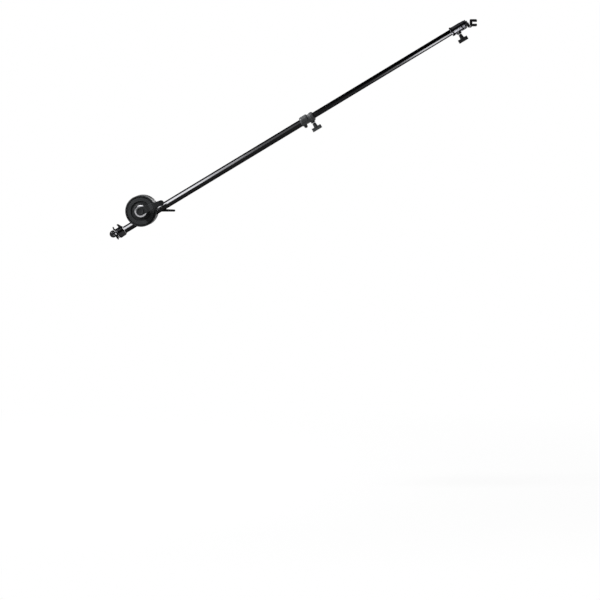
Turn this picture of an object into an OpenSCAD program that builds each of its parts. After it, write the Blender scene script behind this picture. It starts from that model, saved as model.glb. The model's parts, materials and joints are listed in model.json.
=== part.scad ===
// Reflector holder arm: a three-section telescopic boom held by a two-sided
// grip head on a 16 mm stand riser, with a sliding fork clip at the butt end
// and a hook jaw at the far end.
// Millimetres. The origin is the middle of the stand socket, +Z runs up the
// riser, and the clamp bolt lies along Y.

/* [Stand socket] */
// Diameter of the stand riser that the rear clamp grips
stand_d = 16; // [14:0.5:19]
// Radial room between the riser and its saddle when the clamp is shut
stand_clearance = 0.1; // [0.05:0.05:0.2]

/* [Boom tubes] */
// Outer diameter of the outer tube
outer_d = 19; // [18:0.5:21]
// Outer diameter of the middle tube
middle_d = 16; // [15:0.5:16]
// Outer diameter of the inner tube
inner_d = 13; // [12:0.5:13]
// Wall of all three tubes
tube_wall = 1; // [0.8:0.1:1.2]
// Length of the outer tube
outer_length = 590; // [480:1:700]
// Length of the middle tube
middle_length = 610; // [560:1:640]
// Length of the inner tube
inner_length = 585; // [480:1:600]
// Length of the middle tube that stays inside the outer tube at rest
middle_overlap = 135; // [110:1:160]
// Angle of the boom above the horizon at rest
boom_tilt = 31.2; // [0:0.1:60]
// Distance from the bolt back to the butt end of the outer tube
butt_reach = 90; // [84:1:100]

/* [Grip head] */
// Diameter of the four clamp plates
plate_d = 83; // [76:1:100]
// Gap between two plates of a clamp when it is shut
jaw_gap = 3; // [2:0.5:4]
// Thickness of the outer boom plate, from its gap face
boom_outer_t = 14; // [13:0.5:18]
// Thickness of the inner boom plate, from its gap face
boom_inner_t = 13.5; // [13:0.5:18]
// Thickness of the inner stand plate, from its gap face
stand_inner_t = 13; // [12.5:0.5:18]
// Thickness of the outer stand plate, from its gap face
stand_outer_t = 12.5; // [12:0.5:18]
// Distance from the bolt to the axis of the gripped rod
rod_offset = 20; // [19.5:0.5:21]
// Diameter of the clamp bolt
bolt_d = 10; // [8:1:10]
// Thickness of the friction washer between the two clamps
friction_t = 1; // [0.8:0.1:2]
// Radial room in running fits
running_clearance = 0.1; // [0.05:0.01:0.1]
// Radial room of a tube in its saddle or guide bush
sliding_clearance = 0.25; // [0.2:0.05:0.3]
// Radial room of a piece pressed into another
press_clearance = 0.05; // [0.03:0.01:0.1]
// Diameter of the guide pins that keep the plates in line
guide_pin_d = 6; // [4:0.5:7]
// Distance from the bolt to the guide pins
guide_pin_offset = 25; // [22:0.5:28]
// Wire diameter of the springs that open the clamps
spring_wire_d = 1.6; // [1.2:0.1:1.8]
// Mean diameter of those springs
spring_d = 14; // [13.5:0.25:14.25]
// Turns of those springs
spring_turns = 4; // [3:1:5]

/* [Levers] */
// Diameter of the lever hubs
hub_d = 22; // [20:0.5:26]
// Height of the lever hubs
hub_h = 13; // [12:0.5:18]
// Diameter of the bright washer under each hub
bright_washer_d = 33; // [28:0.5:34]
// Thickness of that washer
bright_washer_t = 2.5; // [2:0.5:3.5]
// Reach of the front lever from the bolt
front_lever_reach = 67; // [58:1:85]
// Direction of the front lever above the horizon at rest
front_lever_angle = 22; // [0:1:60]
// Width of the front lever at its hub
front_lever_w = 21; // [16:0.5:21.5]
// Width of the front lever at its tip
front_lever_tip_w = 15; // [10:0.5:16]
// Reach of the rear lever from the bolt
rear_lever_reach = 84; // [68:1:95]
// Direction of the rear lever above the horizon at rest
rear_lever_angle = -1; // [-40:1:40]

/* [Collars and lock knobs] */
// Thickness of the first collar's ring over the outer tube
first_collar_wall = 3; // [2.5:0.25:4.5]
// Thickness of the second collar's body over the middle tube
second_collar_wall = 2.75; // [2.25:0.25:4]
// Length of the first collar
first_collar_l = 39; // [36:1:48]
// Length of the second collar
second_collar_l = 44; // [42:1:56]
// Distance from the end of the first collar back to its lock screw
first_lock_inset = 10; // [9:0.5:12]
// Distance from the start of the second collar to its lock screw
second_lock_inset = 17.5; // [16:0.5:22]
// Diameter of the lock screws
lock_screw_d = 6; // [5:0.5:6.5]
// Length of the cross bar on a lock knob
knob_bar_l = 27; // [22:0.5:28]
// Height of the cross bar along its screw
knob_bar_h = 10; // [8:0.5:12]
// Thickness of the cross bar
knob_bar_t = 8; // [7:0.5:10]
// Distance from the boom axis to the middle of the cross bar
knob_reach = 33; // [32:0.5:42]

/* [Fork clip] */
// Gap between the two prongs of the clip
fork_gap = 12.5; // [10:0.5:14]
// Height of the prong tips above the boom axis
fork_height = 23; // [20:0.5:28]
// Width of the fork across the boom
fork_w = 12; // [10:0.5:16]
// Distance from the butt end of the tube to the clip's bush
clip_inset = 3.3; // [3:0.1:6]

/* [Hook jaw] */
// Height of the hook jaw
jaw_h = 19; // [17:0.5:22]
// Length of the hook jaw from spine to lips
jaw_l = 19; // [18:0.5:21]
// Width of the hook jaw across the boom
jaw_w = 14; // [12:0.5:18]
// Gap of the jaw slot that takes the reflector's rim
jaw_slot = 6; // [5.5:0.5:7]
// Depth of the jaw slot
jaw_slot_depth = 12; // [9:0.5:13]
// Diameter of the hook's hinge pin
hook_pin_d = 4; // [3:0.5:4.5]

/* [Hidden] */
$fn = 64;

// Small steps used throughout
eps = 0.01;
face_gap = 0.1;
edge = 1;

// Head: places along Y, from the riser's plane towards the boom
bolt_x = -rod_offset;
half_gap = jaw_gap / 2;
friction_y = -(half_gap + stand_inner_t);
boom_y = friction_y - friction_t - face_gap - boom_inner_t - half_gap;
stand_r = stand_d / 2 + stand_clearance;
boom_r = outer_d / 2 + sliding_clearance;
plate_r = plate_d / 2;
bolt_r = bolt_d / 2;
saddle_l = 60;
relief = 1.2;
spring_room = 0.6;
spring_pocket_r = (spring_d + spring_wire_d) / 2 + spring_room;
spring_pocket_depth = 5;
rim_w = 3.4;
groove_w = 2.4;
groove_depth = 1.8;
band_r = 27;
band_drop = 0.2;
face_recess = 1.6;
boss_r = bright_washer_d / 2 + 2.5;
boss_drop = 0.6;
guide_r = guide_pin_d / 2;
guide_depth = 8;
guide_end_gap = 1;
stud_flange_r = 9;
stud_flange_t = 5;
stud_end_inset = 4.5;
hub_web = 2.5;
nut_room = 0.4;
thread_room = 0.05;
friction_r = plate_r - 1.5;
washer_room = 0.2;
friction_room = 0.5;
hub_r = hub_d / 2;
washer_r = bright_washer_d / 2;
hub_gap = face_gap;
nut_r = bolt_r + 3;
lever_rise = 3;
front_face = half_gap + boom_outer_t;
rear_face = half_gap + stand_outer_t;

// Boom: distances along its axis from the foot of the bolt
outer_start = -butt_reach;
outer_end = outer_start + outer_length;
middle_start = outer_end - middle_overlap;
middle_end = middle_start + middle_length;
outer_bore_r = outer_d / 2 - tube_wall;
middle_r = middle_d / 2;
middle_bore_r = middle_r - tube_wall;
inner_r = inner_d / 2;
inner_bore_r = inner_r - tube_wall;
bush_gap = 0.2;
bush_l = 18.6;
first_lip = 2;
first_end = outer_end + bush_l + first_lip + 2 * bush_gap;
first_start = first_end - first_collar_l;
first_lock_s = first_end - first_lock_inset;
second_grip_l = 33;
second_start = middle_end - second_grip_l;
second_end = second_start + second_collar_l;
second_lock_s = second_start + second_lock_inset;
second_lip = 1.6;
inner_end = second_end - 2;
inner_start = inner_end - inner_length;
guide_clearance = sliding_clearance - 0.05;
collar_r = outer_d / 2 + first_collar_wall;
waist_r = collar_r - 1.3;
hump_r = collar_r + 0.2;
hump_rise = 1.7;
hump_l = 24;
second_r = middle_d / 2 + second_collar_wall;
rib_w = 6;
rib_drop = 1.6;
lock_r = lock_screw_d / 2;
lock_bore_r = lock_r + thread_room;
lock_slot_room = 0.4;
lug_bore_r = 1.6;
lug_head_r = 3.2;
lug_head_drop = 3;
screw_room = 0.2;
screw_head_t = 2;
driver_w = 0.8;
driver_l = 3.6;
driver_depth = 0.9;
lock_boss_r = lock_r + 3;
lock_boss_reach = 16;
pad_t = 2.4;
pad_gap = 0.1;
pad_room = 0.1;
screw_slip = 0.02;
knob_web_gap = 0.2;
knob_hub_l = 10.5;
lug_w = 9;
lug_t = 9;
lug_reach = 18.5;
lug_s = first_start + 7;
tail_flange_l = 8;
tail_stem_l = 12;
tail_room = 0.15;
plug_l = 14;
cap_r = outer_d / 2 + 0.3;
cap_ball_offset = 5.7;
cap_ball_rise = 6.5;
cap_flange_r = 13.5;
cap_flange_t = 2.5;

// Clip: a bush that slides on the outer tube and a fork that turns on it
clip_start = outer_start + clip_inset;
clip_flange_l = 3.2;
clip_bush_r = outer_d / 2 + sliding_clearance + 1;
clip_flange_r = clip_bush_r + 1;
clip_sleeve_l = 18;
clip_bore_r = clip_bush_r + running_clearance;
clip_sleeve_r = clip_bore_r + 2;
clip_sleeve_start = clip_start + clip_flange_l + 0.3;
clip_sleeve_end = clip_sleeve_start + clip_sleeve_l;
clip_butt_r = clip_sleeve_r + 0.9;
clip_back_l = 1.2;
skirt_r = clip_butt_r - 0.3;
skirt_bore_r = clip_flange_r + 0.35;
skirt_low = 5;
fork_floor_z = clip_flange_r + 0.3;
fork_floor_t = 1.7;
fork_mid_s = clip_start + 6.5;
prong_a_t = 3.2;
prong_b_t = 6;
liner_t = 0.8;

// Hook: a swivel on the end of the inner tube, and a jaw hinged to its arm
plug_start = inner_end - 18;
neck_r = 4.5;
turn_room = running_clearance - 0.02;
eye_start = second_end + 0.4;
eye_t = 3.2;
eye_r = 9.6;
plug_flange_start = eye_start + eye_t + 0.3;
plug_flange_t = 2.8;
plug_flange_r = 6.2;
flange_room = 0.3;
hood_r = 8.2;
hood_top = 1;
hood_wall = 1;
strap_top = hood_r + 0.2;
strap_t = 6;
jaw_mid_s = second_end + 19;
jaw_mid_drop = 9;
jaw_corner_r = 3;
hook_pin_r = hook_pin_d / 2;
ear_r = hook_pin_r + 2.2;
clevis_r = ear_r + 0.6;
ear_x = -jaw_l / 2 + 1.5;
ear_z = -jaw_h / 2 + 0.8;
tongue_w = 5.4;
clevis_gap = 6;
jaw_pad_t = 0.8;

// Frame of a clamp: x runs along its rod, the rod lies at y = -rod_offset,
// and z points towards the front of the head
module rod_frame(angle, plane_y) {
    translate([bolt_x, plane_y, 0])
        rotate([0, -angle, 0])
            rotate([90, 0, 0])
                children();
}

module boom_clamp_frame() {
    rod_frame(boom_tilt, boom_y) children();
}

module stand_clamp_frame() {
    rod_frame(90, 0) children();
}

// Frame of the boom: x runs along its axis and z points up and to the left
module boom_frame() {
    translate([bolt_x, boom_y, 0])
        rotate([0, -boom_tilt, 0])
            translate([0, 0, -rod_offset])
                children();
}

// Rod between two distances along the boom
module along(s0, s1, r) {
    translate([s0, 0, 0])
        rotate([0, 90, 0])
            cylinder(r = r, h = s1 - s0);
}

// Shape turned about the boom axis, from points of radius and distance
module turned(points) {
    rotate([0, 90, 0])
        rotate_extrude()
            polygon(points);
}

// Frame whose z points down from the boom axis at one distance along it
module below(s) {
    translate([s, 0, 0])
        rotate([180, 0, 0])
            children();
}

module tube(s0, s1, r) {
    difference() {
        along(s0, s1, r);
        along(s0 - edge, s1 + edge, r - tube_wall);
    }
}

module ring(r_out, r_in, h) {
    difference() {
        cylinder(r = r_out, h = h);
        translate([0, 0, -edge])
            cylinder(r = r_in, h = h + 2 * edge);
    }
}

// Clamp plates
// Round plate from its gap face up, with a stepped face under the lever
module faced_plate(thick) {
    z0 = half_gap;
    z1 = half_gap + thick;
    rim_in = plate_r - rim_w;
    groove_in = rim_in - groove_w;
    rotate_extrude($fn = 128)
        polygon([
            [0, z0], [plate_r - edge, z0], [plate_r, z0 + edge], [plate_r, z1 - 2.2],
            [plate_r - 0.7, z1 - 0.7], [plate_r - 2.2, z1], [rim_in, z1],
            [rim_in - 0.5, z1 - groove_depth], [groove_in + 0.5, z1 - groove_depth],
            [groove_in, z1 - band_drop], [band_r, z1 - band_drop],
            [band_r - 1, z1 - face_recess], [boss_r + 2, z1 - face_recess],
            [boss_r + 1, z1 - boss_drop], [boss_r, z1 - boss_drop], [boss_r - 1, z1], [0, z1]
        ]);
}

// Round plate that faces the friction washer
module plain_plate(thick) {
    z0 = half_gap;
    z1 = half_gap + thick;
    rotate_extrude($fn = 128)
        polygon([
            [0, z0], [plate_r - edge, z0], [plate_r, z0 + edge], [plate_r, z1 - edge],
            [plate_r - edge, z1], [0, z1]
        ]);
}

// Saddle for the rod, relieved at both ends so that its grip length is exact
module saddle_cut(r) {
    translate([0, -rod_offset, 0]) {
        along(-saddle_l / 2, saddle_l / 2, r);
        for (side = [-1, 1])
            translate([side * (saddle_l / 2 + plate_r / 2), 0, 0])
                rotate([0, 90, 0])
                    cylinder(r = r + relief, h = plate_r, center = true);
    }
}

// Holes that every plate has: bolt, spring pocket and guide pin
module plate_holes(thick, bolt_hole_r, pin_r, pin_depth) {
    cylinder(r = bolt_hole_r, h = 2 * (thick + half_gap), center = true);
    translate([0, 0, half_gap - edge])
        cylinder(r = spring_pocket_r, h = spring_pocket_depth + edge);
    translate([0, guide_pin_offset, half_gap - edge])
        cylinder(r = pin_r, h = pin_depth + edge);
}

module outer_jaw(thick, rod_r) {
    difference() {
        faced_plate(thick);
        saddle_cut(rod_r);
        plate_holes(thick, bolt_r + running_clearance, guide_r + sliding_clearance,
                    guide_depth + guide_end_gap);
    }
}

module inner_jaw(thick, rod_r) {
    difference() {
        plain_plate(thick);
        saddle_cut(rod_r);
        plate_holes(thick, bolt_r + running_clearance, guide_r + press_clearance, guide_depth);
    }
}

module boom_jaw_outer() {
    color([0.13, 0.14, 0.15])
        boom_clamp_frame()
            outer_jaw(boom_outer_t, boom_r);
}

module boom_jaw_inner() {
    color([0.07, 0.07, 0.08])
        boom_clamp_frame()
            mirror([0, 0, 1])
                inner_jaw(boom_inner_t, boom_r);
}

module stand_jaw_inner() {
    color([0.07, 0.07, 0.08])
        stand_clamp_frame()
            difference() {
                inner_jaw(stand_inner_t, stand_r);
                translate([0, 0, half_gap + stand_inner_t - stud_flange_t])
                    cylinder(r = stud_flange_r + press_clearance, h = stud_flange_t + edge, $fn = 6);
            }
}

module stand_jaw_outer() {
    color([0.07, 0.07, 0.08])
        stand_clamp_frame()
            mirror([0, 0, 1])
                outer_jaw(stand_outer_t, stand_r);
}

// Guide pins: pressed into the inner plate, free in the outer one
module guide_pin() {
    translate([0, guide_pin_offset, 0])
        cylinder(r = guide_r, h = 2 * (half_gap + guide_depth) - edge, center = true);
}

module boom_guide_pin() {
    color([0.75, 0.75, 0.77])
        boom_clamp_frame()
            guide_pin();
}

module stand_guide_pin() {
    color([0.75, 0.75, 0.77])
        stand_clamp_frame()
            guide_pin();
}

// Springs: one tube of six sides swept along a helix
spring_sides = 6;
spring_rings_per_turn = 8;
spring_end_room = 0.4;
spring_span = 2 * (half_gap + spring_pocket_depth) - spring_wire_d - spring_end_room;
spring_rings = spring_turns * spring_rings_per_turn;

function helix_point(i) = let (turn = 360 * i / spring_rings_per_turn)
    [spring_d / 2 * cos(turn), spring_d / 2 * sin(turn), spring_span * (i / spring_rings - 0.5)];

function wire_point(i, k) = let (
        turn = 360 * i / spring_rings_per_turn,
        around = 360 * k / spring_sides,
        out = spring_wire_d / 2 * cos(around)
    )
    helix_point(i) + [out * cos(turn), out * sin(turn), spring_wire_d / 2 * sin(around)];

module coil_spring() {
    points = [
        for (i = [0:spring_rings])
            for (k = [0:spring_sides - 1])
                wire_point(i, k)
    ];
    sides = [
        for (i = [0:spring_rings - 1])
            for (k = [0:spring_sides - 1])
                let (a = i * spring_sides + k, b = i * spring_sides + (k + 1) % spring_sides)
                    each [[a, a + spring_sides, b], [b, a + spring_sides, b + spring_sides]]
    ];
    last = spring_rings * spring_sides;
    caps = [
        for (k = [1:spring_sides - 2])
            each [[0, k, k + 1], [last, last + k + 1, last + k]]
    ];
    polyhedron(points = points, faces = concat(sides, caps));
}

module boom_jaw_spring() {
    color([0.7, 0.7, 0.72])
        boom_clamp_frame()
            coil_spring();
}

module stand_jaw_spring() {
    color([0.7, 0.7, 0.72])
        stand_clamp_frame()
            coil_spring();
}

// Clamp stud: threaded at both ends, its hexagon held in the inner stand plate
module clamp_stud() {
    color([0.6, 0.6, 0.62])
        stand_clamp_frame() {
            front_end = -boom_y + front_face + bright_washer_t + hub_gap + hub_h - stud_end_inset;
            rear_end = rear_face + bright_washer_t + hub_gap + hub_h - stud_end_inset;
            translate([0, 0, -rear_end])
                cylinder(r = bolt_r, h = rear_end + front_end);
            translate([0, 0, half_gap + stand_inner_t - stud_flange_t + face_gap])
                cylinder(r = stud_flange_r, h = stud_flange_t - face_gap, $fn = 6);
        }
}

module friction_washer() {
    color([0.72, 0.72, 0.74])
        stand_clamp_frame()
            translate([0, 0, -friction_y])
                rotate_extrude($fn = 128)
                    polygon([
                        [bolt_r + friction_room, 0], [friction_r, 0], [friction_r, friction_t],
                        [bolt_r + friction_room, friction_t]
                    ]);
}

// Bright washers under the lever hubs, crowned towards the hub
module bright_washer() {
    bore = bolt_r + washer_room;
    t = bright_washer_t;
    rotate_extrude()
        polygon([
            [bore, 0], [washer_r - 0.4, 0], [washer_r, 0.4], [washer_r - 0.2, 0.42 * t],
            [washer_r - 0.8, 0.7 * t], [washer_r - 1.8, 0.9 * t], [washer_r - 3, t],
            [bore, t]
        ]);
}

module boom_lever_washer() {
    color([0.85, 0.85, 0.87])
        boom_clamp_frame()
            translate([0, 0, front_face])
                bright_washer();
}

module stand_lever_washer() {
    color([0.85, 0.85, 0.87])
        stand_clamp_frame()
            mirror([0, 0, 1])
                translate([0, 0, rear_face])
                    bright_washer();
}

// Levers: the hub stands on z = 0, closed over its nut, and the arm runs along x
module lever_hub() {
    pocket_r = nut_r + press_clearance;
    pocket_h = hub_h - hub_web;
    rotate_extrude()
        polygon([
            [pocket_r, 0], [hub_r, 0], [hub_r, hub_h - 2], [hub_r - 0.6, hub_h - 0.6],
            [hub_r - 2, hub_h], [hub_r - 4, hub_h], [hub_r - 5, hub_h - 0.7],
            [0, hub_h - 0.7], [0, pocket_h], [pocket_r, pocket_h]
        ]);
}

module lever_nut() {
    ring(nut_r, bolt_r + thread_room, hub_h - hub_web - nut_room);
}

// Broad arm of the front lever, with finger dips along its lower edge
module broad_arm() {
    reach = front_lever_reach;
    root_w = front_lever_w / 2;
    tip_w = front_lever_tip_w / 2;
    dip_r = 7;
    intersection() {
        linear_extrude(hub_h + 6)
            difference() {
                hull() {
                    translate([hub_r / 2, 0])
                        circle(r = root_w);
                    translate([reach - tip_w, 0])
                        circle(r = tip_w);
                }
                circle(r = hub_r - 1);
                for (k = [0:2])
                    translate([reach * (0.48 + 0.15 * k), -tip_w - dip_r + 1.2 - 0.7 * (2 - k)])
                        circle(r = dip_r);
            }
        rotate([90, 0, 0])
            linear_extrude(hub_d, center = true)
                polygon([
                    [0, 2], [hub_r, 2], [hub_r + 12, lever_rise + 3], [reach - 14, lever_rise + 5],
                    [reach + 2, lever_rise + 2], [reach + 2, lever_rise + 8], [reach - 12, hub_h],
                    [hub_r + 14, hub_h - 1.5], [hub_r, hub_h - 1], [0, hub_h - 1]
                ]);
    }
}

// Slim arm of the rear lever
module slim_arm() {
    reach = rear_lever_reach;
    difference() {
        union() {
            hull() {
                translate([hub_r - 4, 0, 6.5])
                    sphere(r = 5.5, $fn = 32);
                translate([reach * 0.55, 0, 9.5])
                    sphere(r = 3.9, $fn = 32);
            }
            hull() {
                translate([reach * 0.55, 0, 9.5])
                    sphere(r = 3.9, $fn = 32);
                translate([reach - 3, 0, 8.5])
                    sphere(r = 3, $fn = 32);
            }
        }
        translate([0, 0, -edge])
            cylinder(r = hub_r - 1, h = hub_h + 10);
    }
}

module front_lever_frame() {
    boom_clamp_frame()
        translate([0, 0, front_face + bright_washer_t + hub_gap])
            rotate([0, 0, front_lever_angle - boom_tilt])
                children();
}

// The rear lever's frame is the mirror image of the front one's
module rear_lever_frame() {
    stand_clamp_frame()
        mirror([0, 0, 1])
            translate([0, 0, rear_face + bright_washer_t + hub_gap])
                rotate([0, 0, rear_lever_angle - 90])
                    children();
}

module boom_lever() {
    color([0.16, 0.17, 0.16])
        front_lever_frame() {
            lever_hub();
            broad_arm();
        }
}

module boom_lever_nut() {
    color([0.72, 0.6, 0.35])
        front_lever_frame()
            lever_nut();
}

module stand_lever() {
    color([0.06, 0.06, 0.06])
        rear_lever_frame() {
            lever_hub();
            slim_arm();
        }
}

module stand_lever_nut() {
    color([0.72, 0.6, 0.35])
        rear_lever_frame()
            lever_nut();
}

// Tubes
module outer_tube() {
    color([0.04, 0.04, 0.04])
        boom_frame()
            tube(outer_start, outer_end, outer_d / 2);
}

module middle_tube() {
    color([0.04, 0.04, 0.04])
        boom_frame()
            difference() {
                tube(middle_start, middle_end, middle_r);
                below(second_lock_s)
                    cylinder(r = lock_r + lock_slot_room, h = middle_d);
            }
}

module inner_tube() {
    color([0.04, 0.04, 0.04])
        boom_frame()
            tube(inner_start, inner_end, inner_r);
}

// Cap in the butt end of the outer tube: a plug, a flange and an offset ball
module butt_cap() {
    plug_r = outer_bore_r - press_clearance;
    face = outer_start - face_gap;
    back = face - cap_flange_t;
    color([0.05, 0.05, 0.05])
        boom_frame() {
            difference() {
                translate([outer_start - cap_ball_offset, 0, cap_ball_rise])
                    rotate([0, 90, 0])
                        sphere(r = cap_r);
                along(back + edge, outer_start + plug_l, 3 * cap_r);
            }
            turned([
                [0, back], [cap_flange_r - 1, back], [cap_flange_r, back + 1],
                [cap_flange_r, face - 0.6], [cap_flange_r - 0.6, face], [0, face]
            ]);
            along(face - edge, outer_start + plug_l, plug_r);
        }
}

// Bushes on the inner ends of the middle and inner tubes
module tail_bush(start, bore_r, guide_bore_r) {
    difference() {
        union() {
            along(start - tail_flange_l, start - eps, guide_bore_r - tail_room);
            along(start - edge, start + tail_stem_l, bore_r - press_clearance);
        }
        along(start - tail_flange_l - edge, start + tail_stem_l + edge, bore_r - 2);
    }
}

module middle_tail_bush() {
    color([0.85, 0.85, 0.82])
        boom_frame()
            tail_bush(middle_start, middle_bore_r, outer_bore_r);
}

module inner_tail_bush() {
    color([0.85, 0.85, 0.82])
        boom_frame()
            tail_bush(inner_start, inner_bore_r, middle_bore_r);
}

// Boss under a collar that takes a lock screw
module lock_boss(s) {
    below(s)
        cylinder(r = lock_boss_r, h = lock_boss_reach);
}

module lock_bore(s) {
    below(s)
        cylinder(r = lock_bore_r, h = lock_boss_reach + edge);
}

// First collar: on the outer tube's mouth, with a lug and a lock boss
module first_collar() {
    bore_r = outer_d / 2 + press_clearance;
    s0 = first_start;
    s1 = first_end;
    color([0.27, 0.28, 0.29])
        boom_frame()
            difference() {
                union() {
                    turned([
                        [0, s0], [waist_r - 1, s0], [waist_r, s0 + 1], [waist_r, s1 - 10.5],
                        [collar_r, s1 - 9], [collar_r, s1 - 3], [collar_r - 0.4, s1 - 1.4],
                        [collar_r - 1.4, s1], [0, s1]
                    ]);
                    translate([0, 0, hump_rise])
                        turned([
                            [0, s0 + 0.8], [hump_r - 2.2, s0 + 0.8], [hump_r - 0.6, s0 + 2.6],
                            [hump_r, s0 + 5.2], [hump_r, s0 + hump_l - 4],
                            [hump_r - 0.8, s0 + hump_l - 1.6], [hump_r - 3.4, s0 + hump_l],
                            [0, s0 + hump_l]
                        ]);
                    lock_boss(first_lock_s);
                    below(lug_s)
                        linear_extrude(lug_reach - lug_w / 2)
                            square([lug_w, lug_t], center = true);
                    below(lug_s)
                        translate([0, 0, lug_reach - lug_w / 2])
                            rotate([90, 0, 0])
                                cylinder(r = lug_w / 2, h = lug_t, center = true);
                }
                along(s0 - edge, s1 - first_lip, bore_r);
                along(s0, s1 + edge, middle_r + sliding_clearance);
                lock_bore(first_lock_s);
                below(lug_s)
                    cylinder(r = lug_bore_r, h = lug_reach + edge);
                below(lug_s)
                    translate([0, 0, lug_reach - lug_head_drop])
                        cylinder(r = lug_head_r, h = lug_head_drop + edge);
            }
}

module first_collar_bush() {
    color([0.85, 0.85, 0.82])
        boom_frame()
            difference() {
                along(outer_end + bush_gap, first_end - first_lip - bush_gap, outer_d / 2);
                along(outer_end - edge, first_end, middle_r + guide_clearance);
                below(first_lock_s)
                    cylinder(r = lock_r + lock_slot_room, h = outer_d);
            }
}

// Screw in the lug that fixes the first collar on the outer tube
module first_collar_screw() {
    tip = outer_d / 2 + face_gap;
    head_z = lug_reach - lug_head_drop;
    color([0.6, 0.6, 0.62])
        boom_frame()
            below(lug_s)
                difference() {
                    union() {
                        translate([0, 0, tip])
                            cylinder(r = lug_bore_r - screw_room / 2, h = head_z - tip + eps);
                        translate([0, 0, head_z + eps])
                            cylinder(r = lug_head_r - screw_room, h = screw_head_t);
                    }
                    for (turn = [0, 90])
                        translate([0, 0, head_z + screw_head_t])
                            rotate([0, 0, turn])
                                cube([driver_l, driver_w, 2 * driver_depth], center = true);
                }
}

// Second collar: on the middle tube's mouth, with a lock boss
module second_collar() {
    bore_r = middle_r + press_clearance;
    s0 = second_start;
    s1 = second_end;
    color([0.05, 0.05, 0.05])
        boom_frame()
            difference() {
                union() {
                    turned([
                        [0, s0], [collar_r - 0.8, s0], [collar_r, s0 + 1], [collar_r, s0 + 4],
                        [second_r + 0.4, s0 + 5.5], [second_r, s0 + 8],
                        [second_r, s0 + second_grip_l - 2], [second_r - 0.6, s0 + second_grip_l],
                        [second_r - 0.6, s1 - 2.5], [second_r - 2, s1], [0, s1]
                    ]);
                    translate([s0 + edge, -rib_w / 2, -second_r - rib_drop])
                        cube([second_collar_l - 2.5 * edge, rib_w, second_r]);
                    lock_boss(second_lock_s);
                }
                along(s0 - edge, s1 - second_lip, bore_r);
                along(s0, s1 + edge, inner_r + sliding_clearance);
                lock_bore(second_lock_s);
            }
}

module second_collar_bush() {
    color([0.85, 0.85, 0.82])
        boom_frame()
            difference() {
                along(middle_end + bush_gap, second_end - second_lip - bush_gap, middle_r);
                along(middle_end - edge, second_end, inner_r + guide_clearance);
            }
}

// Lock pad, screw and knob, from the tube outwards
module lock_pad(s, tube_r) {
    below(s)
        translate([0, 0, tube_r + pad_gap])
            cylinder(r = lock_r - pad_room, h = pad_t);
}

module lock_screw(s, tube_r) {
    start = tube_r + pad_gap + pad_t + pad_gap;
    below(s)
        translate([0, 0, start])
            cylinder(r = lock_r - screw_slip, h = knob_reach - start);
}

// Cross bar with rounded ends and a short hub, hollow for the screw
module lock_knob(s) {
    bar_end = knob_bar_l / 2 - knob_bar_t / 2;
    below(s)
        difference() {
            union() {
                translate([0, 0, knob_reach - knob_bar_h / 2])
                    linear_extrude(knob_bar_h) {
                        square([2 * bar_end, knob_bar_t], center = true);
                        for (side = [-1, 1])
                            translate([side * bar_end, 0])
                                circle(r = knob_bar_t / 2);
                    }
                translate([0, 0, knob_reach - knob_bar_h / 2 - knob_hub_l])
                    cylinder(r1 = lock_r + 1.6, r2 = lock_r + 2.6, h = knob_hub_l + eps);
            }
            cylinder(r = lock_r + press_clearance, h = knob_reach + knob_web_gap);
        }
}

module first_lock_pad() {
    color([0.8, 0.8, 0.76])
        boom_frame()
            lock_pad(first_lock_s, middle_r);
}

module first_lock_screw() {
    color([0.65, 0.65, 0.67])
        boom_frame()
            lock_screw(first_lock_s, middle_r);
}

module first_lock_knob() {
    color([0.27, 0.28, 0.29])
        boom_frame()
            lock_knob(first_lock_s);
}

module second_lock_pad() {
    color([0.8, 0.8, 0.76])
        boom_frame()
            lock_pad(second_lock_s, inner_r);
}

module second_lock_screw() {
    color([0.65, 0.65, 0.67])
        boom_frame()
            lock_screw(second_lock_s, inner_r);
}

module second_lock_knob() {
    color([0.16, 0.16, 0.17])
        boom_frame()
            lock_knob(second_lock_s);
}

// Hook swivel: a plug in the inner tube, with a neck for the arm's eye
module hook_plug() {
    neck_start = inner_end - eps;
    flange_end = plug_flange_start + plug_flange_t;
    color([0.72, 0.73, 0.73])
        boom_frame() {
            along(plug_start, inner_end, inner_bore_r - press_clearance);
            along(neck_start, flange_end - edge, neck_r);
            turned([
                [0, plug_flange_start], [plug_flange_r, plug_flange_start],
                [plug_flange_r, flange_end - 1], [plug_flange_r - 1, flange_end],
                [0, flange_end]
            ]);
        }
}

// Frame of the hook jaw: level at rest, whatever the boom's angle
module jaw_frame() {
    translate([jaw_mid_s, 0, -jaw_mid_drop])
        rotate([0, boom_tilt, 0])
            children();
}

// Place of the jaw's hinge along the boom and across it
ear_s = jaw_mid_s + ear_x * cos(boom_tilt) + ear_z * sin(boom_tilt);
ear_n = -jaw_mid_drop - ear_x * sin(boom_tilt) + ear_z * cos(boom_tilt);

// Half-round hood of the hook arm, under the plug's flange
module arm_hood() {
    eye_end = eye_start + eye_t;
    room_end = plug_flange_start + plug_flange_t + flange_room;
    hood_end = room_end + hood_wall;
    difference() {
        intersection() {
            along(eye_end - edge, hood_end, hood_r);
            rotate([90, 0, 0])
                linear_extrude(2 * hood_r + 2, center = true)
                    polygon([
                        [eye_end - edge, -hood_top], [hood_end, -hood_top], [hood_end, -5],
                        [room_end, -hood_r - edge], [eye_end - edge, -hood_r - edge]
                    ]);
        }
        along(eye_end, room_end, plug_flange_r + flange_room);
    }
}

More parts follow.
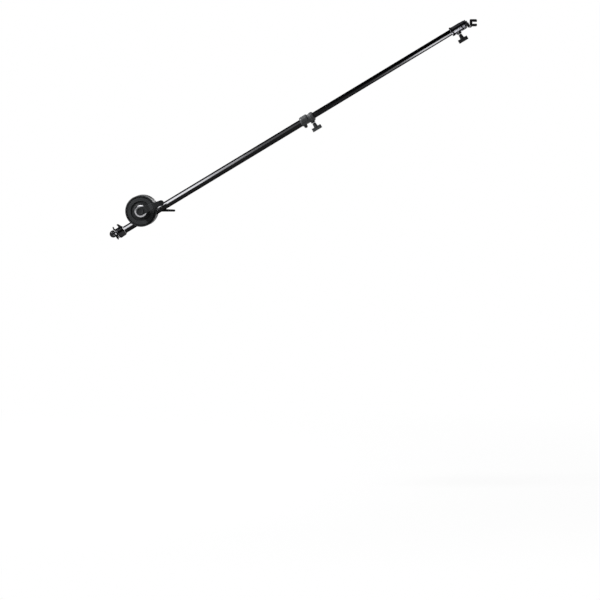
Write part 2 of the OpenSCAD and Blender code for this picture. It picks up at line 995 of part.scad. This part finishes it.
// Hook arm: an eye round the plug's neck, a hood, and a strap to the jaw's hinge
module hook_arm() {
    eye_end = eye_start + eye_t;
    strap_low = -strap_top - strap_t;
    hood_low_s = plug_flange_start + plug_flange_t;
    color([0.08, 0.08, 0.09])
        boom_frame()
            difference() {
                union() {
                    along(eye_start, eye_end, eye_r);
                    arm_hood();
                    rotate([90, 0, 0])
                        linear_extrude(tongue_w, center = true) {
                            polygon([
                                [eye_start, 1 - eye_r], [eye_end, 1 - eye_r],
                                [eye_end + 0.6, 0.4 - hood_r], [hood_low_s, 0.4 - hood_r],
                                [ear_s, -strap_top],
                                [ear_s, strap_low], [eye_end, strap_low + 0.4],
                                [eye_start, strap_low + 2]
                            ]);
                            translate([ear_s, ear_n])
                                circle(r = ear_r - 0.2);
                        }
                }
                along(eye_start - edge, eye_end + edge, neck_r + turn_room);
                translate([ear_s, 0, ear_n])
                    rotate([90, 0, 0])
                        cylinder(r = hook_pin_r + screw_slip, h = tongue_w + 2, center = true);
            }
}

module hook_pin() {
    color([0.7, 0.7, 0.72])
        boom_frame()
            translate([ear_s, 0, ear_n])
                rotate([90, 0, 0])
                    cylinder(r = hook_pin_r, h = jaw_w - 0.4, center = true);
}

// Hook jaw: a block with a level slot, and a clevis round the arm's ear
module hook_jaw() {
    r = jaw_corner_r;
    color([0.06, 0.06, 0.07])
        boom_frame()
            jaw_frame()
                rotate([90, 0, 0])
                    difference() {
                        linear_extrude(jaw_w, center = true)
                            difference() {
                                union() {
                                    offset(r = r, $fn = 32)
                                        square([jaw_l - 2 * r, jaw_h - 2 * r], center = true);
                                    translate([ear_x, ear_z])
                                        circle(r = ear_r);
                                }
                                translate([jaw_l / 2 - jaw_slot_depth, -jaw_slot / 2])
                                    square([jaw_slot_depth + edge, jaw_slot]);
                            }
                        translate([ear_x, ear_z, 0])
                            cylinder(r = hook_pin_r + turn_room, h = jaw_w + 2, center = true);
                        translate([ear_x, ear_z, 0])
                            cylinder(r = clevis_r, h = clevis_gap, center = true);
                    }
}

// Soft pads on the two faces of the jaw slot
module hook_jaw_pads() {
    pad_l = jaw_slot_depth - 2;
    color([0.35, 0.35, 0.36])
        boom_frame()
            jaw_frame()
                for (side = [-1, 1])
                    translate([jaw_l / 2 - pad_l / 2 - 0.8, 0, side * (jaw_slot / 2 - jaw_pad_t / 2)])
                        cube([pad_l, jaw_w - 2, jaw_pad_t], center = true);
}

// Clip: bush, fork and liner
module clip_bush() {
    back = clip_sleeve_end + 0.3;
    color([0.78, 0.78, 0.78])
        boom_frame()
            difference() {
                turned([
                    [outer_d / 2 + sliding_clearance, clip_start],
                    [clip_flange_r - 0.6, clip_start], [clip_flange_r, clip_start + 0.6],
                    [clip_flange_r, clip_start + clip_flange_l],
                    [clip_bush_r, clip_start + clip_flange_l],
                    [clip_bush_r, back], [clip_flange_r - 0.8, back],
                    [clip_flange_r - 0.8, back + clip_back_l],
                    [outer_d / 2 + sliding_clearance, back + clip_back_l]
                ]);
                translate([clip_start - edge, -0.6, -clip_flange_r - edge])
                    cube([clip_sleeve_l + 10, 1.2, clip_flange_r]);
            }
}

// Skirt of the fork, over all but the lowest part of the bush's flange
module clip_skirt() {
    skirt_l = clip_sleeve_start + 1.5 - clip_start;
    difference() {
        intersection() {
            along(clip_start, clip_start + skirt_l, skirt_r);
            translate([clip_start - edge, -skirt_r - edge, -skirt_low])
                cube([skirt_l + 1, 2 * skirt_r + 1, skirt_r + skirt_low + 1]);
        }
        along(clip_start - edge, clip_sleeve_start, skirt_bore_r);
    }
}

module clip_fork() {
    floor_top = fork_floor_z + fork_floor_t;
    left = fork_mid_s - fork_gap / 2;
    right = fork_mid_s + fork_gap / 2;
    root_end = right + prong_b_t + 3;
    color([0.05, 0.05, 0.05])
        boom_frame()
            difference() {
                union() {
                    turned([
                        [0, clip_sleeve_start], [clip_butt_r - 0.8, clip_sleeve_start],
                        [clip_butt_r, clip_sleeve_start + 1], [clip_sleeve_r, clip_sleeve_end - 2],
                        [clip_sleeve_r - 1.2, clip_sleeve_end], [0, clip_sleeve_end]
                    ]);
                    clip_skirt();
                    rotate([90, 0, 0])
                        linear_extrude(fork_w, center = true)
                            polygon([
                                [left - prong_a_t, fork_floor_z],
                                [clip_sleeve_start, fork_floor_z],
                                [clip_sleeve_start, clip_bore_r], [root_end, clip_bore_r],
                                [right + prong_b_t, floor_top + 1],
                                [right + 3, fork_height - 2], [right + 1.4, fork_height],
                                [right - 0.6, fork_height], [right - 1.4, fork_height - 1.6],
                                [right, floor_top + 3], [right - 1.6, floor_top + 0.6],
                                [right - 4, floor_top], [left + 4, floor_top],
                                [left + 1.4, floor_top + 0.6], [left, floor_top + 2.4],
                                [left + 0.4, fork_height - 1], [left - 0.4, fork_height],
                                [left - 1.6, fork_height - 0.6],
                                [left - prong_a_t, floor_top + 1]
                            ]);
                }
                along(clip_sleeve_start - edge, clip_sleeve_end + edge, clip_bore_r);
            }
}

module clip_liner() {
    floor_top = fork_floor_z + fork_floor_t;
    liner_l = fork_gap - 8;
    color([0.85, 0.85, 0.85])
        boom_frame()
            translate([fork_mid_s - liner_l / 2, 0.5 - fork_w / 2, floor_top + eps])
                cube([liner_l, fork_w - 1, liner_t]);
}

stand_jaw_inner();
stand_jaw_outer();
stand_guide_pin();
stand_jaw_spring();
stand_lever_washer();
stand_lever();
stand_lever_nut();
clamp_stud();
friction_washer();
boom_jaw_inner();
boom_jaw_outer();
boom_guide_pin();
boom_jaw_spring();
boom_lever_washer();
boom_lever();
boom_lever_nut();
outer_tube();
butt_cap();
first_collar();
first_collar_bush();
first_collar_screw();
first_lock_pad();
first_lock_screw();
first_lock_knob();
middle_tube();
middle_tail_bush();
second_collar();
second_collar_bush();
second_lock_pad();
second_lock_screw();
second_lock_knob();
inner_tube();
inner_tail_bush();
hook_plug();
hook_arm();
hook_pin();
hook_jaw();
hook_jaw_pads();
clip_bush();
clip_fork();
clip_liner();
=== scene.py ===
"""Looks of the reflector holder arm: materials, softened mouldings, studio light and camera."""

import json
import math

import bpy
from mathutils import Matrix, Vector

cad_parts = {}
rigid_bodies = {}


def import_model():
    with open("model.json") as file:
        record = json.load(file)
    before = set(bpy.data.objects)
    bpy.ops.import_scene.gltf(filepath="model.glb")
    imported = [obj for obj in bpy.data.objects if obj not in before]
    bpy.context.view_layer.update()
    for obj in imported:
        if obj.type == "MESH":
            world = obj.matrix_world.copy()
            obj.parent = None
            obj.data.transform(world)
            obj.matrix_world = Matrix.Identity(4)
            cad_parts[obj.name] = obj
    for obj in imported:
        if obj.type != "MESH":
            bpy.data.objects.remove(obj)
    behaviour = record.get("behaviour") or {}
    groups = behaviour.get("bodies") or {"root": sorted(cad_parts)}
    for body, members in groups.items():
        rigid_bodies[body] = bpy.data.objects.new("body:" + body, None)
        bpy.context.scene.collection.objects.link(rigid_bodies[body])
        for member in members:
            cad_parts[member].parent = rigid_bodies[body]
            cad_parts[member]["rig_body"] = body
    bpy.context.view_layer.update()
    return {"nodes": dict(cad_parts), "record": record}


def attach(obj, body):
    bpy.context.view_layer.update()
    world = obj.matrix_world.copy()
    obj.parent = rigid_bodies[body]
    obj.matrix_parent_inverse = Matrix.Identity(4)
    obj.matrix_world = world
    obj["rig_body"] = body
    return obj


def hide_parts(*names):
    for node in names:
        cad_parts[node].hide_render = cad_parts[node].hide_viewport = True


# Places, in metres
BOOM_TILT = math.radians(31.2)
BOLT = Vector((-0.020, -0.0306, 0.0))
ROD_OFFSET = 0.020
ALONG = Vector((math.cos(BOOM_TILT), 0.0, math.sin(BOOM_TILT)))
ACROSS = Vector((-math.sin(BOOM_TILT), 0.0, math.cos(BOOM_TILT)))

# Camera: angles, lens and the place of the clamp bolt in a frame 600 wide
CAMERA_AZIMUTH = math.radians(4.5)
CAMERA_ELEVATION = math.radians(4.0)
FRAME_SIDE = 600
METRES_PER_STEP = 0.00264
BOLT_IN_FRAME = (141.4, 210.9)
LENS_MM = 250.0
SENSOR_MM = 36.0

# Floor: height, share of plain white under the object, and tone in bounced light
FLOOR_Z = -0.75
FLOOR_WHITE = 0.84
FLOOR_BOUNCE = (0.22, 0.22, 0.22, 1.0)

# Key lamp
KEY_DIRECTION = (-0.80, -0.28, 0.53)
KEY_DISTANCE = 3.2
KEY_SIDE = 0.6
KEY_WATTS = 150.0

# Painted light and shade on the castings by distance from the bolt: painted shade darkens the
# recess, the groove and the rim bevel, and painted light brightens the raised annulus
RING_LIGHT_AND_SHADE = (
    (0.0165, 0.75), (0.0200, 0.50), (0.0255, 0.42), (0.0275, 0.95), (0.0350, 1.00),
    (0.0362, 0.30), (0.0378, 0.30), (0.0386, 0.85), (0.0398, 0.35), (0.0450, 0.30),
)
RING_SCALE = 10.0


def boom_point(s, n, y=0.0):
    """A point by its distance along the boom's axis, height over it and offset to the back."""
    return BOLT + ALONG * s + ACROSS * (n - ROD_OFFSET) + Vector((0.0, y, 0.0))


# ---- Camera

def make_camera():
    a, e = CAMERA_AZIMUTH, CAMERA_ELEVATION
    back = Vector((math.sin(a) * math.cos(e), -math.cos(a) * math.cos(e), math.sin(e)))
    right = Vector((math.cos(a), math.sin(a), 0.0))
    up = Vector((-math.sin(a) * math.sin(e), math.cos(a) * math.sin(e), math.cos(e)))
    middle = FRAME_SIDE / 2
    target = (
        BOLT
        + right * (middle - BOLT_IN_FRAME[0]) * METRES_PER_STEP
        - up * (middle - BOLT_IN_FRAME[1]) * METRES_PER_STEP
    )
    distance = FRAME_SIDE * METRES_PER_STEP * LENS_MM / SENSOR_MM
    data = bpy.data.cameras.new("camera")
    data.lens = LENS_MM
    data.sensor_width = SENSOR_MM
    data.clip_end = 100.0
    camera = bpy.data.objects.new("camera", data)
    bpy.context.scene.collection.objects.link(camera)
    turn = Matrix((right, up, back)).transposed().to_4x4()
    camera.matrix_world = Matrix.Translation(target + back * distance) @ turn
    bpy.context.scene.camera = camera


make_camera()
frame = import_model()
nodes = frame["nodes"]


# ---- Node helpers

class Graph:
    """A node tree with short ways to add and link nodes."""

    def __init__(self, tree):
        self.tree = tree
        tree.nodes.clear()

    def add(self, kind, inputs=None, **settings):
        node = self.tree.nodes.new(kind)
        for key, value in settings.items():
            setattr(node, key, value)
        for key, value in (inputs or {}).items():
            if isinstance(value, bpy.types.NodeSocket):
                self.tree.links.new(value, node.inputs[key])
            else:
                node.inputs[key].default_value = value
        return node

    def ramp(self, factor, stops):
        node = self.add("ShaderNodeValToRGB", {"Fac": factor})
        elements = node.color_ramp.elements
        while len(elements) < len(stops):
            elements.new(0.5)
        for element, (place, colour) in zip(elements, stops):
            element.position = place
            element.color = colour if len(colour) == 4 else (*colour, 1.0)
        return node.outputs["Color"]

    def noise(self, vector, scale, detail=4.0, roughness=0.55):
        node = self.add(
            "ShaderNodeTexNoise",
            {"Vector": vector, "Scale": scale, "Detail": detail, "Roughness": roughness},
        )
        return node.outputs["Fac"]

    def math(self, operation, a, b):
        return self.add("ShaderNodeMath", {0: a, 1: b}, operation=operation).outputs[0]

    def span(self, value, low, high):
        """value, from 0 to 1, spread from low to high."""
        node = self.add("ShaderNodeMapRange", {"Value": value, "To Min": low, "To Max": high})
        return node.outputs["Result"]

    def bump(self, height, distance, strength=1.0, normal=None):
        inputs = {"Height": height, "Distance": distance, "Strength": strength}
        if normal is not None:
            inputs["Normal"] = normal
        return self.add("ShaderNodeBump", inputs).outputs["Normal"]


def boom_coordinates(g):
    """Object coordinates turned so that x runs along the boom."""
    place = g.add("ShaderNodeTexCoord").outputs["Object"]
    turned = g.add(
        "ShaderNodeMapping",
        {"Vector": place, "Rotation": (0.0, BOOM_TILT, 0.0)},
    )
    return turned.outputs["Vector"]


def stretched(g, vector, scale):
    return g.add("ShaderNodeMapping", {"Vector": vector, "Scale": scale}).outputs["Vector"]


def edge_wear(g, low, high):
    """0 on flats to 1 on convex edges."""
    sharp = g.add("ShaderNodeNewGeometry").outputs["Pointiness"]
    node = g.add("ShaderNodeMapRange", {"Value": sharp, "From Min": low, "From Max": high})
    return node.outputs["Result"]


def new_material(name):
    material = bpy.data.materials.new(name)
    material.use_nodes = True
    return material, Graph(material.node_tree)


def finish_material(g, colour, roughness, normal, **constants):
    shader = g.add(
        "ShaderNodeBsdfPrincipled",
        {"Base Color": colour, "Roughness": roughness, "Normal": normal},
    )
    for name, value in constants.items():
        shader.inputs[name.replace("_", " ")].default_value = value
    g.add("ShaderNodeOutputMaterial", {"Surface": shader.outputs["BSDF"]})


# ---- Materials

def casting(name, dark, light, grain=0.00025):
    """Wrinkle-painted casting: fine grain, cloudy tone, worn edges, and rings about the bolt of
    painted shade (recess, groove, rim bevel) and painted light (raised annulus).
    """
    material, g = new_material(name)
    place = g.add("ShaderNodeTexCoord").outputs["Object"]
    fine = g.noise(place, 1900.0, 3.0, 0.6)
    cloud = g.noise(place, 30.0, 3.0)
    speck = g.noise(place, 900.0, 4.0, 0.65)
    tone = g.math("ADD", g.math("MULTIPLY", cloud, 0.7), g.math("MULTIPLY", speck, 0.3))
    paint = g.ramp(tone, [(0.34, dark), (0.68, light)])
    from_bolt = g.add("ShaderNodeVectorMath", {0: place, 1: tuple(BOLT)}, operation="SUBTRACT")
    flat = g.add("ShaderNodeVectorMath", {0: from_bolt.outputs[0], 1: (1.0, 0.0, 1.0)},
                 operation="MULTIPLY")
    radius = g.add("ShaderNodeVectorMath", {0: flat.outputs[0]}, operation="LENGTH")
    # Painted shade and light: the ring ramp darkens the recess, the groove and the rim bevel and
    # lightens the raised annulus
    stops = [(distance * RING_SCALE, (level,) * 3) for distance, level in RING_LIGHT_AND_SHADE]
    ring = g.ramp(g.math("MULTIPLY", radius.outputs["Value"], RING_SCALE), stops)
    paint_light_and_shade = g.add(
        "ShaderNodeMix", {"Factor": 0.8, "A": paint, "B": ring}, data_type="RGBA",
        blend_type="MULTIPLY",
    )
    edge = edge_wear(g, 0.53, 0.6)
    chips = g.ramp(g.noise(place, 210.0, 5.0, 0.7), [(0.42, (0.0,) * 3), (0.62, (1.0,) * 3)])
    wear = g.math("MULTIPLY", g.math("MULTIPLY", edge, chips), 0.4)
    rubbed = [min(1.0, 2.0 * c + 0.03) for c in light[:3]]
    colour = g.add(
        "ShaderNodeMix", {"Factor": wear, "A": paint_light_and_shade.outputs["Result"], "B": (*rubbed, 1.0)},
        data_type="RGBA",
    )
    roughness = g.math("SUBTRACT", g.span(speck, 0.4, 0.56), g.math("MULTIPLY", edge, 0.12))
    wrinkle = g.bump(speck, grain, 0.4)
    normal = g.bump(fine, grain * 0.4, 0.35, wrinkle)
    finish_material(g, colour.outputs["Result"], roughness, normal, Specular_IOR_Level=0.1)
    return material


def gloss_tube(name):
    """Black bright-finished drawn tube: faint draw lines, orange peel, fine scuffs."""
    material, g = new_material(name)
    place = boom_coordinates(g)
    lines = g.noise(stretched(g, place, (6.0, 900.0, 900.0)), 1.0, 4.0)
    peel = g.noise(place, 260.0, 2.0)
    scuff = g.noise(stretched(g, place, (30.0, 400.0, 400.0)), 1.0, 6.0, 0.7)
    colour = g.ramp(lines, [(0.3, (0.0085, 0.0085, 0.009)), (0.75, (0.0135, 0.0135, 0.014))])
    scuffed = g.ramp(scuff, [(0.58, (0.0, 0.0, 0.0)), (0.75, (1.0, 1.0, 1.0))])
    roughness = g.span(scuffed, 0.18, 0.28)
    normal = g.bump(lines, 0.00001, 0.3, g.bump(peel, 0.00003, 0.25))
    finish_material(g, colour, roughness, normal, Metallic=1.0,
                    Specular_Tint=(0.02, 0.02, 0.02, 1.0))
    return material


def gloss_black(name, dark, light, rough):
    """Polished black moulding: faint flow marks, fine scuffs, worn edges."""
    material, g = new_material(name)
    place = g.add("ShaderNodeTexCoord").outputs["Object"]
    flow = g.noise(stretched(g, place, (25.0, 25.0, 60.0)), 1.0, 4.0)
    scuff = g.noise(place, 320.0, 6.0, 0.7)
    paint = g.ramp(flow, [(0.3, dark), (0.7, light)])
    wear = g.math("MULTIPLY", edge_wear(g, 0.53, 0.64), scuff)
    polished = [min(1.0, 1.6 * c + 0.02) for c in light[:3]]
    colour = g.add(
        "ShaderNodeMix", {"Factor": wear, "A": paint, "B": (*polished, 1.0)}, data_type="RGBA"
    )
    roughness = g.span(scuff, rough, rough + 0.12)
    normal = g.bump(scuff, 0.00003, 0.3, g.bump(flow, 0.00008, 0.15))
    finish_material(g, colour.outputs["Result"], roughness, normal, Metallic=1.0,
                    Specular_Tint=(0.05, 0.05, 0.05, 1.0))
    return material


def moulding(name, dark, light, rough, gloss=0.5, texture=0.00006):
    """Moulded plastic: spark-eroded texture, slight flow marks, polished edges."""
    material, g = new_material(name)
    place = g.add("ShaderNodeTexCoord").outputs["Object"]
    fine = g.noise(place, 2200.0, 2.0, 0.6)
    flow = g.noise(stretched(g, place, (25.0, 25.0, 60.0)), 1.0, 4.0)
    paint = g.ramp(flow, [(0.3, dark), (0.7, light)])
    wear = g.math("MULTIPLY", edge_wear(g, 0.52, 0.62), 0.5)
    polished = [min(1.0, 1.5 * c + 0.012) for c in light[:3]]
    colour = g.add(
        "ShaderNodeMix", {"Factor": wear, "A": paint, "B": (*polished, 1.0)}, data_type="RGBA"
    )
    roughness = g.math("SUBTRACT", g.span(flow, rough, rough + 0.12), g.math("MULTIPLY", wear, 0.1))
    normal = g.bump(fine, texture, 0.5, g.bump(flow, 0.0001, 0.15))
    finish_material(g, colour.outputs["Result"], roughness, normal, Specular_IOR_Level=gloss)
    return material


def metal(name, tone, rough, turned_about=None, lines=1400.0):
    """Bright metal with turning marks or fine scratches."""
    material, g = new_material(name)
    place = g.add("ShaderNodeTexCoord").outputs["Object"]
    if turned_about is None:
        marks = g.noise(stretched(g, place, (60.0, 900.0, 900.0)), 1.0, 5.0, 0.7)
    else:
        centred = g.add("ShaderNodeVectorMath", {0: place, 1: turned_about}, operation="SUBTRACT")
        flat = g.add("ShaderNodeVectorMath", {0: centred.outputs[0], 1: (1.0, 0.0, 1.0)},
                     operation="MULTIPLY")
        radius = g.add("ShaderNodeVectorMath", {0: flat.outputs[0]}, operation="LENGTH")
        spread = g.add("ShaderNodeCombineXYZ", {"X": radius.outputs["Value"]})
        marks = g.noise(spread.outputs["Vector"], lines, 3.0, 0.7)
    smudge = g.noise(place, 90.0, 4.0)
    low = [c * 0.86 for c in tone]
    colour = g.ramp(smudge, [(0.3, low), (0.7, tone)])
    roughness = g.span(marks, rough, rough + 0.14)
    normal = g.bump(marks, 0.00002, 0.4)
    finish_material(g, colour, roughness, normal, Metallic=1.0)
    return material


def rubber(name, dark, light, rough=0.6):
    """Soft pads and caps: fine grain and a little dust."""
    material, g = new_material(name)
    place = g.add("ShaderNodeTexCoord").outputs["Object"]
    grain = g.noise(place, 1800.0, 3.0, 0.6)
    dust = g.noise(place, 120.0, 5.0, 0.65)
    colour = g.ramp(dust, [(0.4, dark), (0.8, light)])
    roughness = g.span(dust, rough, min(1.0, rough + 0.2))
    normal = g.bump(grain, 0.00005, 0.5)
    finish_material(g, colour, roughness, normal)
    return material


looks = {
    "grey_casting": casting("grey_casting", (0.036, 0.038, 0.040), (0.070, 0.073, 0.076)),
    "dark_casting": casting("dark_casting", (0.020, 0.020, 0.022), (0.044, 0.044, 0.047)),
    "black_tube": gloss_tube("black_tube"),
    "gloss_black": gloss_black("gloss_black", (0.018, 0.018, 0.020), (0.030, 0.030, 0.032), 0.16),
    "black_nylon": moulding(
        "black_nylon", (0.008, 0.008, 0.009), (0.018, 0.018, 0.020), 0.36, 0.25
    ),
    "grey_nylon": moulding("grey_nylon", (0.050, 0.052, 0.055), (0.085, 0.088, 0.092), 0.36, 0.35),
    "pale_nylon": moulding("pale_nylon", (0.40, 0.40, 0.41), (0.52, 0.52, 0.53), 0.38, 0.35),
    "white_nylon": moulding("white_nylon", (0.70, 0.70, 0.67), (0.80, 0.80, 0.77), 0.4),
    "grey_pad": rubber("grey_pad", (0.24, 0.24, 0.25), (0.36, 0.36, 0.37)),
    "black_rubber": gloss_black("black_rubber", (0.016, 0.016, 0.017), (0.030, 0.030, 0.031), 0.34),
    "friction_ring": rubber("friction_ring", (0.030, 0.030, 0.030), (0.060, 0.058, 0.055)),
    "chrome_ring": metal("chrome_ring", (0.52, 0.52, 0.54), 0.14, (-0.020, 0.0, 0.0)),
    "bright_steel": metal("bright_steel", (0.66, 0.66, 0.68), 0.18),
    "brass_nut": metal("brass_nut", (0.60, 0.46, 0.22), 0.2, (-0.020, 0.0, 0.0)),
}

slot_of = {part["node"]: part["material_slot"] for part in frame["record"]["subparts"]}


for name, obj in nodes.items():
    for i in range(len(obj.data.materials)):
        obj.data.materials[i] = looks[slot_of[name]]
    if not obj.data.materials:
        obj.data.materials.append(looks[slot_of[name]])


# ---- Softened mouldings

soft = {}


def soften(node, voxel, rounds):
    """A new piece in a node's place, with its edges rounded as a moulding's are."""
    source = nodes[node]
    body = source["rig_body"]
    piece = bpy.data.objects.new("soft_" + node, source.data.copy())
    bpy.context.scene.collection.objects.link(piece)
    remesh = piece.modifiers.new("remesh", "REMESH")
    remesh.mode = "VOXEL"
    remesh.voxel_size = voxel
    remesh.use_smooth_shade = True
    smooth = piece.modifiers.new("smooth", "SMOOTH")
    smooth.factor = 0.5
    smooth.iterations = rounds
    graph = bpy.context.evaluated_depsgraph_get()
    mesh = bpy.data.meshes.new_from_object(piece.evaluated_get(graph))
    piece.modifiers.clear()
    piece.data = mesh
    mesh.materials.clear()
    mesh.materials.append(looks[slot_of[node]])
    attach(piece, body)
    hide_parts(node)
    soft[node] = piece


for node, voxel, rounds in (
    ("boom_lever", 0.0006, 6),
    ("stand_lever", 0.0007, 4),
    ("first_lock_knob", 0.0004, 6),
    ("second_lock_knob", 0.0004, 6),
    ("first_collar", 0.0005, 3),
    ("second_collar", 0.0005, 3),
    ("clip_fork", 0.0004, 4),
    ("hook_arm", 0.0004, 4),
    ("hook_jaw", 0.0004, 4),
):
    soften(node, voxel, rounds)


# ---- Studio

def make_world():
    world = bpy.data.worlds.new("studio")
    bpy.context.scene.world = world
    world.use_nodes = True
    g = Graph(world.node_tree)
    direction = g.add("ShaderNodeTexCoord").outputs["Generated"]
    parts = g.add("ShaderNodeSeparateXYZ", {"Vector": direction})
    back = g.add("ShaderNodeMapRange", {"Value": parts.outputs["Y"], "From Min": -1.0})
    room = g.ramp(back.outputs["Result"], [
        (0.0, (0.04, 0.04, 0.041)), (0.35, (0.08, 0.08, 0.082)), (0.52, (0.3, 0.3, 0.31)),
        (0.7, (1.0, 1.0, 1.0)),
    ])
    rays = g.add("ShaderNodeLightPath")
    mirror = g.math("MAXIMUM", rays.outputs["Is Glossy Ray"], rays.outputs["Is Transmission Ray"])
    ambient = (0.10, 0.10, 0.102, 1.0)
    lit = g.add("ShaderNodeMix", {"Factor": mirror, "A": ambient, "B": room}, data_type="RGBA")
    seen = g.add(
        "ShaderNodeMix",
        {"Factor": rays.outputs["Is Camera Ray"], "A": lit.outputs["Result"],
         "B": (1.0, 1.0, 1.0, 1.0)},
        data_type="RGBA",
    )
    sky = g.add("ShaderNodeBackground", {"Color": seen.outputs["Result"]})
    g.add("ShaderNodeOutputWorld", {"Surface": sky.outputs["Background"]})


def make_lamp(name, place, aim, width, height, watts, glossy_only=False, wide_axis=None):
    data = bpy.data.lights.new(name, "AREA")
    data.shape = "RECTANGLE"
    data.size = width
    data.size_y = height
    data.energy = watts
    lamp = bpy.data.objects.new(name, data)
    bpy.context.scene.collection.objects.link(lamp)
    away = (Vector(place) - Vector(aim)).normalized()
    side = (wide_axis or Vector((1.0, 0.0, 0.0))).normalized()
    rise = away.cross(side).normalized()
    side = rise.cross(away).normalized()
    turn = Matrix((side, rise, away)).transposed().to_4x4()
    lamp.matrix_world = Matrix.Translation(Vector(place)) @ turn
    lamp.visible_camera = False
    if glossy_only:
        lamp.visible_diffuse = False
    return lamp


def make_floor():
    """Pale floor: white to the camera, apart from the soft shadow under the object."""
    mesh = bpy.data.meshes.new("floor")
    reach = 30.0
    mesh.from_pydata(
        [(-reach, -reach, FLOOR_Z), (reach, -reach, FLOOR_Z), (reach, reach, FLOOR_Z),
         (-reach, reach, FLOOR_Z)], [], [(0, 1, 2, 3)]
    )
    floor = bpy.data.objects.new("floor", mesh)
    bpy.context.scene.collection.objects.link(floor)
    material, g = new_material("floor")
    place = g.add("ShaderNodeTexCoord").outputs["Object"]
    grain = g.noise(place, 4.0)
    colour = g.ramp(grain, [(0.0, (0.88, 0.88, 0.88)), (1.0, (0.91, 0.91, 0.91))])
    rays = g.add("ShaderNodeLightPath")
    bounced = g.add(
        "ShaderNodeMix",
        {"Factor": rays.outputs["Is Diffuse Ray"], "A": colour, "B": FLOOR_BOUNCE},
        data_type="RGBA",
    )
    paper = g.add(
        "ShaderNodeBsdfDiffuse",
        {"Color": bounced.outputs["Result"], "Normal": g.bump(grain, 0.0001, 0.1)},
    )
    white = g.add("ShaderNodeEmission", {"Color": (1.0, 1.0, 1.0, 1.0)})
    under = g.add("ShaderNodeVectorMath", {0: place, 1: (-0.4, -0.4, 0.0)}, operation="ADD")
    distance = g.add("ShaderNodeVectorMath", {0: under.outputs[0]}, operation="LENGTH")
    fade = g.add(
        "ShaderNodeMapRange",
        {"Value": distance.outputs["Value"], "From Min": 0.6, "From Max": 2.2,
         "To Min": FLOOR_WHITE, "To Max": 1.0},
        interpolation_type="SMOOTHSTEP",
    )
    share = g.math("MULTIPLY", rays.outputs["Is Camera Ray"], fade.outputs["Result"])
    mirror = g.math("MAXIMUM", rays.outputs["Is Glossy Ray"], rays.outputs["Is Transmission Ray"])
    share = g.math("MAXIMUM", share, mirror)
    sheet = g.add("ShaderNodeMixShader", {0: share, 1: paper.outputs[0], 2: white.outputs[0]})
    g.add("ShaderNodeOutputMaterial", {"Surface": sheet.outputs[0]})
    floor.data.materials.append(material)


make_world()
make_floor()
FRONT = Vector((0.0, -1.0, 0.0))


def over_boom(s, angle, distance):
    """A point at an angle above the front, seen along the boom, and a distance from its axis."""
    return boom_point(s, 0.0) + (ACROSS * math.sin(angle) + FRONT * math.cos(angle)) * distance


def lights_only(lamp, *wanted):
    """Keep a lamp to these objects, as flags do in a studio."""
    group = bpy.data.collections.new(lamp.name + "_lit")
    for obj in wanted:
        group.objects.link(obj)
    lamp.light_linking.receiver_collection = group


bright = [nodes[name] for name in ("outer_tube", "middle_tube", "inner_tube")]
bright.append(soft["second_collar"])
washers = [nodes["boom_lever_washer"], nodes["stand_lever_washer"]]
matt = [obj for name, obj in nodes.items() if obj not in bright + washers and name not in soft]
matt += [piece for piece in soft.values() if piece not in bright]
plates = [nodes[name] for name in (
    "boom_jaw_outer", "boom_jaw_inner", "stand_jaw_inner", "stand_jaw_outer",
)]

# Key from the upper left, and soft fills for the back and the right
middle = boom_point(0.35, 0.0)
key = middle + Vector(KEY_DIRECTION).normalized() * KEY_DISTANCE
make_lamp("key", key, middle, KEY_SIDE, KEY_SIDE, KEY_WATTS).visible_glossy = False
lights_only(make_lamp("key_gloss", key, middle, KEY_SIDE, KEY_SIDE, KEY_WATTS, True), *matt)
for name, direction, watts in (
    ("back_fill", (-0.35, 0.8, 0.45), 60.0), ("right_fill", (0.85, 0.35, 0.3), 26.0),
):
    away = Vector(direction).normalized()
    make_lamp(name, middle + away * 3.2, middle, 1.6, 1.6, watts).visible_glossy = False

# Strips that draw the highlights along the gloss black tubes: place along the boom, length, watts
near = math.radians(41.0)
for name, s, length, watts in (
    ("near_strip", -0.11, 0.46, 78.0), ("fade_strip", 0.18, 0.12, 9.5),
    ("dim_strip", 0.34, 0.2, 2.8),
):
    lights_only(
        make_lamp(name, over_boom(s, near, 0.7), boom_point(s, 0.0), length, 0.8, watts, True,
                  ALONG), *bright)
far = math.radians(-48.0)
for name, s, length, watts in (("far_fade", 0.735, 0.11, 1.5), ("far_strip", 0.86, 0.13, 15.0)):
    lights_only(
        make_lamp(name, over_boom(s, far, 0.6), boom_point(s, 0.0), length, 0.6, watts, True,
                  ALONG), *bright)
above = math.radians(95.0)
lights_only(
    make_lamp("collar_top", over_boom(0.93, above, 0.6), boom_point(0.93, 0.0), 0.5, 1.0, 2.2, True,
              ALONG), soft["second_collar"])
behind = math.radians(140.0)
lights_only(
    make_lamp("back_strip", over_boom(0.45, behind, 0.9), boom_point(0.45, 0.0), 1.3, 0.5, 36.0,
              True, ALONG), *bright)
lights_only(
    make_lamp("butt_strip", over_boom(-0.09, far, 0.4), boom_point(-0.09, 0.0), 0.1, 0.3, 2.0,
              True, ALONG), nodes["butt_cap"], nodes["clip_bush"])

# Cards for the washers, and a small lamp behind for the side of the plates
for name, direction, side, watts in (
    ("top_card", (-0.08, -0.70, 0.70), 0.7, 5.0), ("left_card", (-0.87, -0.48, 0.0), 0.4, 0.45),
):
    away = Vector(direction).normalized()
    lights_only(make_lamp(name, BOLT + away * 0.8, BOLT, side, side, watts, True), *washers)
rim = Vector((0.50, 0.72, 0.42)).normalized()
lights_only(make_lamp("rim_spot", BOLT + rim * 1.2, BOLT, 0.3, 0.3, 16.0, True), *plates)

scene = bpy.context.scene
scene.view_settings.view_transform = "Standard"
